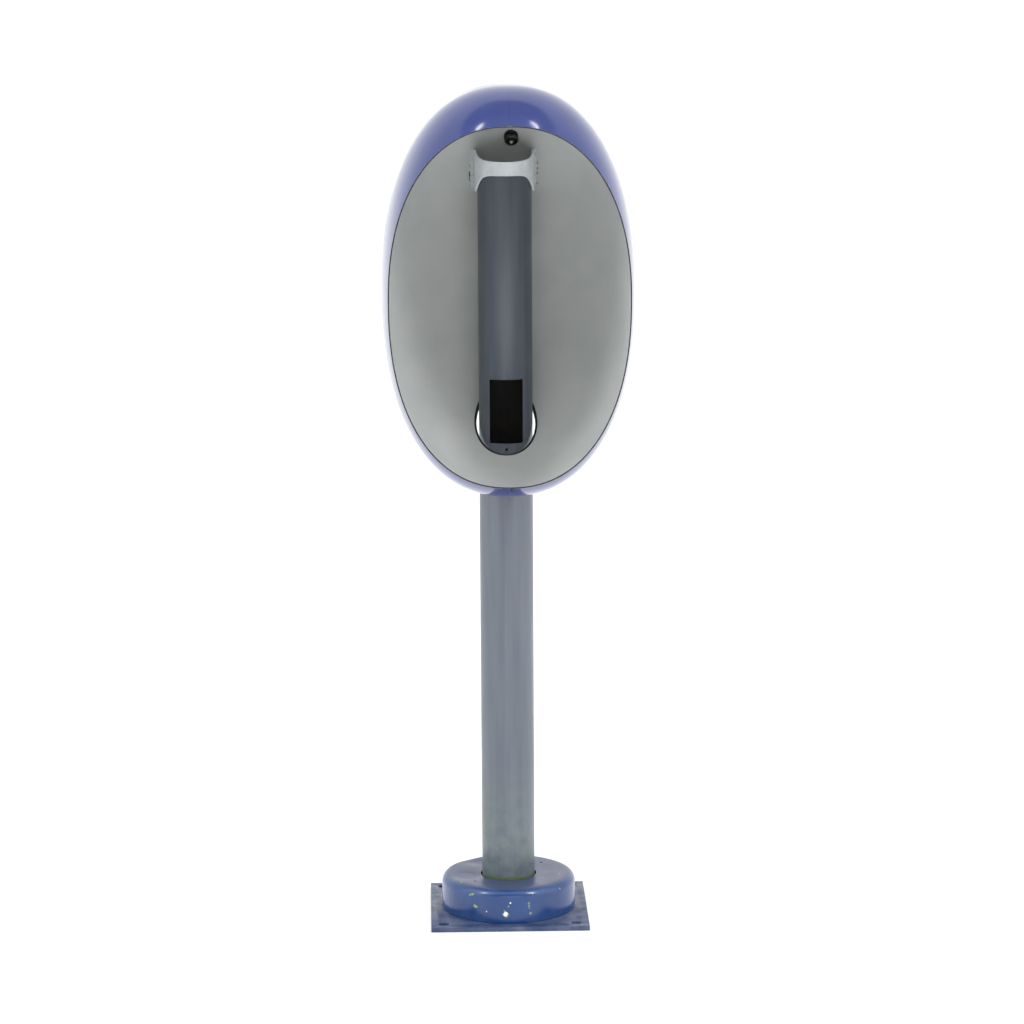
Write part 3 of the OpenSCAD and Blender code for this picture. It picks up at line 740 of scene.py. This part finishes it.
def trim_length(name, node_name, a0, a1, tail):
    bm = bmesh.new()
    wrapped(bm, (260, len(strip_section) - 1), lambda u, w: trim_point(a0 + (a1 - a0) * u, w))
    ends = [e for e in bm.edges if e.is_boundary]
    bmesh.ops.holes_fill(bm, edges=ends, sides=len(strip_section) + 2)
    if tail:
        add_tail(bm, skin(rim_y, 270) + tail_start)
    bmesh.ops.recalc_face_normals(bm, faces=bm.faces)
    trim = piece_from(bm, name, black_rubber)
    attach(trim, "stand")
    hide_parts(node_name)


trim_length("rim_strip_left", "rim_trim_left", 90 + joint_gap, 270 - joint_gap, False)
trim_length("rim_strip_right", "rim_trim_right", -90 + joint_gap, 90 - joint_gap, True)

# ---------------------------------------------------------------- edging of the floor hole
# A thinner strip of the same rubber round the hole in the hood's floor, so that the raw glass fibre
# doesn't rub the post.
strip_t = 0.0016
strip_lip = 0.003
strip_skin = 0.0008


def floor_heights(x, y):
    """Heights of the hood's outer and inner face over a point of the plan, near the hole."""
    under = hood_tree.ray_cast(Vector((x, y, hood_floor - 0.1)), Vector((0, 0, 1)))[0]
    over = hood_tree.ray_cast(Vector((x, y, hood_floor + 0.3)), Vector((0, 0, -1)))[0]
    return under.z, over.z


def strip_point(u, w):
    turn = 2 * math.pi * u
    reach = floor_hole_r + 0.0006
    section = [
        (strip_lip, 1, 1), (-strip_t, 1, 1), (-strip_t, 0, 1), (strip_lip, 0, 1),
        (strip_lip, 0, 0), (0.0, 0, 0), (0.0, 1, 0), (strip_lip, 1, 0), (strip_lip, 1, 1),
    ]
    out, upper, proud = section[round(w * (len(section) - 1))]
    way = Vector((math.cos(turn), math.sin(turn), 0))
    at = way * max(floor_hole_r + out, reach)
    heights = floor_heights(at.x, at.y)
    z = heights[upper] + (strip_skin * proud if upper else -strip_skin * proud)
    point = way * (floor_hole_r + out)
    point.z = z
    return point


bm = bmesh.new()
wrapped(bm, (160, 8), strip_point)
strip = piece_from(bm, "floor_hole_edging", black_rubber)
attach(strip, "stand")
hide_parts("floor_hole_trim")

# ---------------------------------------------------------------- band round the head of the post
# A strap of glass fibre, laid up over a tube and trimmed with a saw: its middle passes in front of the
# post, and its flared legs run back to the hood's wall, where they were laminated to it.
band_r = 0.0586
band_t = 0.0044
band_mid_top, band_mid_low = 1.635, 1.605
band_end_top, band_end_low = 1.660, 1.558
band_reach = 0.063

leg_x = band_r + band_t / 2
leg_gap = 0.0004
# The share of each half of the band that bends round the post, before its straight leg
bend_share = 0.6

band_topcoat_painted_lighter, tree, shader, place = new_finish(
    "topcoat_on_hand_laid_glass_fibre_with_painted_light", Roughness=0.38, IOR=1.5,
)
# The band has the wall's topcoat, painted paler as painted light on its front, and is shinier, with grey
# streaks where its brush marks caught dirt.
tall = node(tree, "Mapping", {"Vector": place, "Scale": (1, 1, 0.5)})
streaks = node(tree, "TexNoise", {"Vector": tall, "Scale": per_mm(14), "Detail": 6, "Roughness": 0.6})
streaks = node(tree, "MapRange", {"Value": streaks, "From Min": 0.35, "From Max": 0.7})
paint = node(tree, "Mix", {0: streaks, 6: linear("#e2e6ea"), 7: linear("#d0d5da")}, 2, data_type="RGBA")
tree.links.new(paint, shader.inputs["Base Color"])
lumps = node(tree, "TexNoise", {"Vector": place, "Scale": per_mm(9), "Detail": 4, "Roughness": 0.55})
lumps = node(tree, "Bump", {"Height": lumps, "Distance": 0.0004, "Strength": 0.5})
tree.links.new(lumps, shader.inputs["Normal"])


def wall_depth(x, z):
    """Depth of the hood's inner face straight behind a point."""
    hit = hood_tree.ray_cast(Vector((x, -0.05, z)), Vector((0, 1, 0)))[0]
    return hit.y if hit else 0.1


def band_path(s, z):
    """A point of the band's middle line in plan, from the left wall at 0 to the right wall at 1."""
    side = -1 if s < 0.5 else 1
    share = abs(2 * s - 1)
    if share < bend_share:
        turn = math.pi / 2 * share / bend_share
        return Vector((side * leg_x * math.sin(turn), -leg_x * math.cos(turn), z))
    end = wall_depth(side * leg_x, z) - leg_gap
    return Vector((side * leg_x, end * (share - bend_share) / (1 - bend_share), z))


def band_edges(s):
    """Heights of the band's lower and upper edge along its length, with the saw's wander."""
    reach = min(abs(band_path(s, (band_mid_low + band_mid_top) / 2).x) / band_reach, 1)
    upper = band_mid_top + (band_end_top - band_mid_top) * (0.35 * reach ** 3 + 0.65 * reach ** 14)
    lower = band_mid_low - (band_mid_low - band_end_low) * reach ** 7
    ragged = max(abs(2 * s - 1) - 0.5, 0) / 0.5
    upper -= abs(noise.noise(Vector((s * 40, 0, 1.7)))) * 0.004 * ragged + 0.0003
    lower += abs(noise.noise(Vector((s * 46, 3.1, 0)))) * 0.005 * ragged + 0.0003
    return lower, upper


def band_point(u, w):
    lower, upper = band_edges(u)
    z = lower + (upper - lower) * w
    ripple = noise.noise(Vector((u * 14, w * 3, 0.4))) * 0.0002
    return band_path(u, z) + Vector((0, ripple, 0))


bm = bmesh.new()
wrapped(bm, (150, 18), band_point)
for face in bm.faces:
    if face.calc_center_median().y < -leg_x * 0.9 and face.normal.y > 0:
        bmesh.ops.reverse_faces(bm, faces=bm.faces)
        break
band = piece_from(bm, "post_head_band", band_topcoat_painted_lighter)
wall = band.modifiers.new("wall", "SOLIDIFY")
wall.thickness, wall.offset, wall.use_even_offset = band_t, 0, True
applied(band)
rounded(band, 0.9, 2, 50)
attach(band, "stand")
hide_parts("saddle")

# ---------------------------------------------------------------- bonding laminate
# Strips of wetted glass mat, dabbed on where each leg of the band meets the hood's wall. They set with
# ragged, lumpy edges, and the outer edge is near-black in broken patches.
bond_resin, tree, shader, place = new_finish("polyester_resin_and_glass_mat", Roughness=0.55, IOR=1.54)
# Cured mat is a cloudy grey with fibres that show, and dark where dirt sits in its pits.
pits = node(tree, "TexNoise", {"Vector": place, "Scale": per_mm(5), "Detail": 7, "Roughness": 0.7})
pits = node(tree, "MapRange", {"Value": pits, "From Min": 0.34, "From Max": 0.44})
paint = node(tree, "Mix", {0: pits, 6: linear("#7a7976"), 7: linear("#cdd1d2")}, 2, data_type="RGBA")
# Near its outer edge it turns near-black in broken patches
aside = node(tree, "Math", {0: node(tree, "SeparateXYZ", {0: place}, "X")}, operation="ABSOLUTE")
edge = node(tree, "MapRange", {"Value": aside, "From Min": 0.0702, "From Max": 0.0712})
gaps = node(tree, "TexNoise", {"Vector": place, "Scale": per_mm(9), "Detail": 2, "Roughness": 0.55})
gaps = node(tree, "MapRange", {"Value": gaps, "From Min": 0.42, "From Max": 0.5})
dark_edge_patches = node(tree, "Math", {0: edge, 1: gaps}, operation="MULTIPLY")
paint = node(tree, "Mix", {0: dark_edge_patches, 6: paint, 7: linear("#1b1a19")}, 2, data_type="RGBA")
tree.links.new(paint, shader.inputs["Base Color"])
fibres = node(tree, "TexNoise", {"Vector": place, "Scale": per_mm(4), "Detail": 7, "Roughness": 0.7})
tree.links.new(node(tree, "Bump", {"Height": fibres, "Distance": 0.0008}), shader.inputs["Normal"])

bond_near, bond_far = band_r + band_t + 0.0002, band_r + band_t + 0.0118
bond_low, bond_high = band_end_low + 0.0035, band_end_top - 0.0075
bond_t = 0.0052
bond_gap = 0.0002


def bond_point(side, u, w):
    """A point of the strip's section at height u: in at the wall, out over the lumpy face, and back."""
    z = bond_low + (bond_high - bond_low) * u
    coarse = 0.4 * noise.noise(Vector((side * 3.0, z * 95, 0.5)))
    fine = 0.25 * noise.noise(Vector((side, z * 400, 2)))
    frayed = min(max(0.82 + coarse + fine, 0.45), 0.98)
    taper = math.sin(math.pi * min(max(u, 0.03), 0.97)) ** 0.3
    width = (bond_far - bond_near) * frayed * taper
    thick = bond_t * taper * (0.75 + 0.25 * noise.noise(Vector((z * 150, side, 4))))
    corners = [(0, 0), (0, 0.95), (0.35, 0.8), (0.7, 0.45), (0.95, 0.2), (1, 0), (0, 0)]
    out, lift = corners[round(w * (len(corners) - 1))]
    x = side * (bond_near + width * out)
    return x, wall_depth(x, z) - bond_gap - thick * lift, z

for side, name in ((-1, "saddle_bond_left"), (1, "saddle_bond_right")):
    bm = bmesh.new()
    wrapped(bm, (90, 6), lambda u, w: bond_point(side, u, w))
    bmesh.ops.holes_fill(bm, edges=[e for e in bm.edges if e.is_boundary], sides=12)
    bmesh.ops.recalc_face_normals(bm, faces=bm.faces)
    bond = piece_from(bm, name + "_laminate", bond_resin)
    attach(bond, "stand")
    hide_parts(name)

# ---------------------------------------------------------------- cable gland
# A black nylon gland in the back wall over the band, for a cable that is no longer there: a hexagonal
# body and dome nut in front of the wall, a rubber seal with a stopper in it, and a nut behind.
for name in ("gland_body", "gland_lock_nut"):
    refinish(name, black_nylon)
for name in ("gland_washer", "gland_seal"):
    refinish(name, black_rubber)

gland_tilt = math.radians(32)
nose_way = Vector((0, -math.cos(gland_tilt), -math.sin(gland_tilt)))
plug_low, plug_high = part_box("gland_plug")
# Where the stopper starts and ends along the gland's axis. The middle of its box is on that axis.
plug_start, plug_stop = 0.009, 0.0255
plug_middle = (plug_low + plug_high) / 2
gland_base = plug_middle - nose_way * ((plug_start + plug_stop) / 2)
dome_across = 0.033
# The hexagon's two ends, and the bores for the body's thread and for the seal, by radius and ends
hexagon_from, hexagon_to, hexagon_chamfer = 0.0082, 0.0172, 0.0008
dome_bores = ((0.01005, 0.005, 0.0131), (0.00905, 0.0129, 0.0200))

stopper_nylon_with_painted_highlight, tree, shader, place = new_finish("dark_grey_nylon_with_painted_highlight", Roughness=0.4, IOR=1.53)
# A stopper of dark grey nylon, with a painted highlight as a pale soft spot in the middle of its end.
painted_highlight_spot = spot(tree, place, plug_middle + nose_way * 0.0085, 6.5, 0.15)
stopper = node(tree, "Mix", {0: painted_highlight_spot, 6: linear("#3a3a3b"), 7: linear("#d2d1cb")}, 2, data_type="RGBA")
tree.links.new(stopper, shader.inputs["Base Color"])
satin = node(tree, "TexNoise", {"Vector": place, "Scale": per_mm(1), "Detail": 3, "Roughness": 0.55})
tree.links.new(node(tree, "Bump", {"Height": satin, "Distance": 0.00005}), shader.inputs["Normal"])
refinish("gland_plug", stopper_nylon_with_painted_highlight)


def gland_place():
    """The frame of the gland: +Z along its nose, from the inner face of the wall."""
    turn = Vector((0, 0, 1)).rotation_difference(nose_way).to_matrix().to_4x4()
    return Matrix.Translation(gland_base) @ turn


def dome_point(u, w):
    turn = 2 * math.pi * u
    profile = [
        (0.0150, 0.0165), (0.0148, 0.0180), (0.0140, 0.0196), (0.0125, 0.0211), (0.0105, 0.0222),
        (0.0085, 0.0229), (0.0068, 0.0230), (0.0060, 0.0226), (0.0056, 0.0215), (0.0056, 0.0190),
        (0.0056, 0.0165), (0.0150, 0.0165),
    ]
    radius, z = profile[round(w * (len(profile) - 1))]
    return radius * math.cos(turn), radius * math.sin(turn), z


bm = bmesh.new()
wrapped(bm, (64, 11), dome_point)
add_hexagon(bm, dome_across, (0, 0, hexagon_from), (0, 0, hexagon_to), hexagon_chamfer)
bmesh.ops.recalc_face_normals(bm, faces=bm.faces)
bmesh.ops.transform(bm, matrix=gland_place(), verts=bm.verts)
dome_nut = piece_from(bm, "gland_dome", black_nylon)
bm = bmesh.new()
for radius, start, stop in dome_bores:
    add_rod(bm, radius, (0, 0, start), (0, 0, stop))
bmesh.ops.transform(bm, matrix=gland_place(), verts=bm.verts)
drilled(dome_nut, bm)
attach(dome_nut, "stand")
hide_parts("gland_dome_nut")

# ---------------------------------------------------------------- studio
# A white sweep of floor under a white sky, with a broad soft box low in front to light the roof of the
# hood, two upright ones and two strips overhead for the lights on the paint, and a long lens a little
# above head height.
sweep = new_finish("white_studio_floor", Roughness=0.4, IOR=1.45, Base_Color=linear("#fafafa"))[0]
bm = bmesh.new()
bmesh.ops.create_grid(bm, x_segments=1, y_segments=1, size=400)
floor = piece_from(bm, "studio_floor", sweep)

world = bpy.data.worlds.new("white_sky")
world.use_nodes = True
tree = world.node_tree
# Brightest at the sides, white behind, dimmer overhead, and dim in front, where the room is dark
way = node(tree, "TexCoord", output="Generated")
depth = node(tree, "SeparateXYZ", {0: way}, "Y")
rise = node(tree, "SeparateXYZ", {0: way}, "Z")
ahead = {"Value": depth, "From Min": -0.93, "From Max": -0.6, "To Min": 0.26, "To Max": 2.2}
behind = {"Value": depth, "From Min": -0.1, "From Max": 0.15, "To Min": 1, "To Max": 0.6}
above = {"Value": rise, "From Min": 0.83, "From Max": 0.88, "To Min": 1, "To Max": 0.45}
strength = node(tree, "MapRange", ahead)
for limit in (behind, above):
    limited = {0: strength, 1: node(tree, "MapRange", limit)}
    strength = node(tree, "Math", limited, operation="MULTIPLY")
tree.nodes["Background"].inputs["Color"].default_value = (1, 1, 1, 1)
tree.links.new(strength, tree.nodes["Background"].inputs["Strength"])
bpy.context.scene.world = world

aim = Vector((0, -0.15, 1.3))
# Each soft box: where it stands, its width and height in metres, and its power in watts
boxes = (
    ((-3.0, -2.7, 2.8), (0.7, 1.8), 45),
    ((2.7, -3.0, 2.8), (0.7, 1.8), 60),
    ((0.2, -3.6, 0.5), (2.4, 0.8), 12),
    ((-0.8, -0.5, 4.3), (0.12, 0.3), 2.2),
    ((0.75, -0.5, 4.3), (0.12, 0.3), 2.2),
)
for number, (at, size, watts) in enumerate(boxes):
    lamp = bpy.data.lights.new(f"soft_box_{number}", "AREA")
    lamp.shape = "RECTANGLE"
    lamp.size, lamp.size_y = size
    lamp.energy = watts
    holder = bpy.data.objects.new(lamp.name, lamp)
    holder.location = at
    holder.rotation_euler = (aim - Vector(at)).to_track_quat("-Z", "Y").to_euler()
    bpy.context.scene.collection.objects.link(holder)

lens = bpy.data.cameras.new("camera")
lens.lens = 120.49
lens.sensor_width = 36
lens.shift_x, lens.shift_y = 0.0087, 0.0293
lens.clip_end = 1000
camera = bpy.data.objects.new("camera", lens)
camera.location = (-0.1683, -7.2182, 2.2058)
pitch, yaw, roll = math.radians(10.886), math.radians(-1.277), math.radians(-0.35)
turned = Matrix.Rotation(yaw, 3, "Z")
raised = Matrix.Rotation(math.pi / 2 - pitch, 3, "X")
rolled = Matrix.Rotation(roll, 3, "Z")
camera.rotation_euler = (turned @ raised @ rolled).to_euler()
bpy.context.scene.collection.objects.link(camera)
bpy.context.scene.camera = camera
bpy.context.scene.view_settings.view_transform = "Standard"
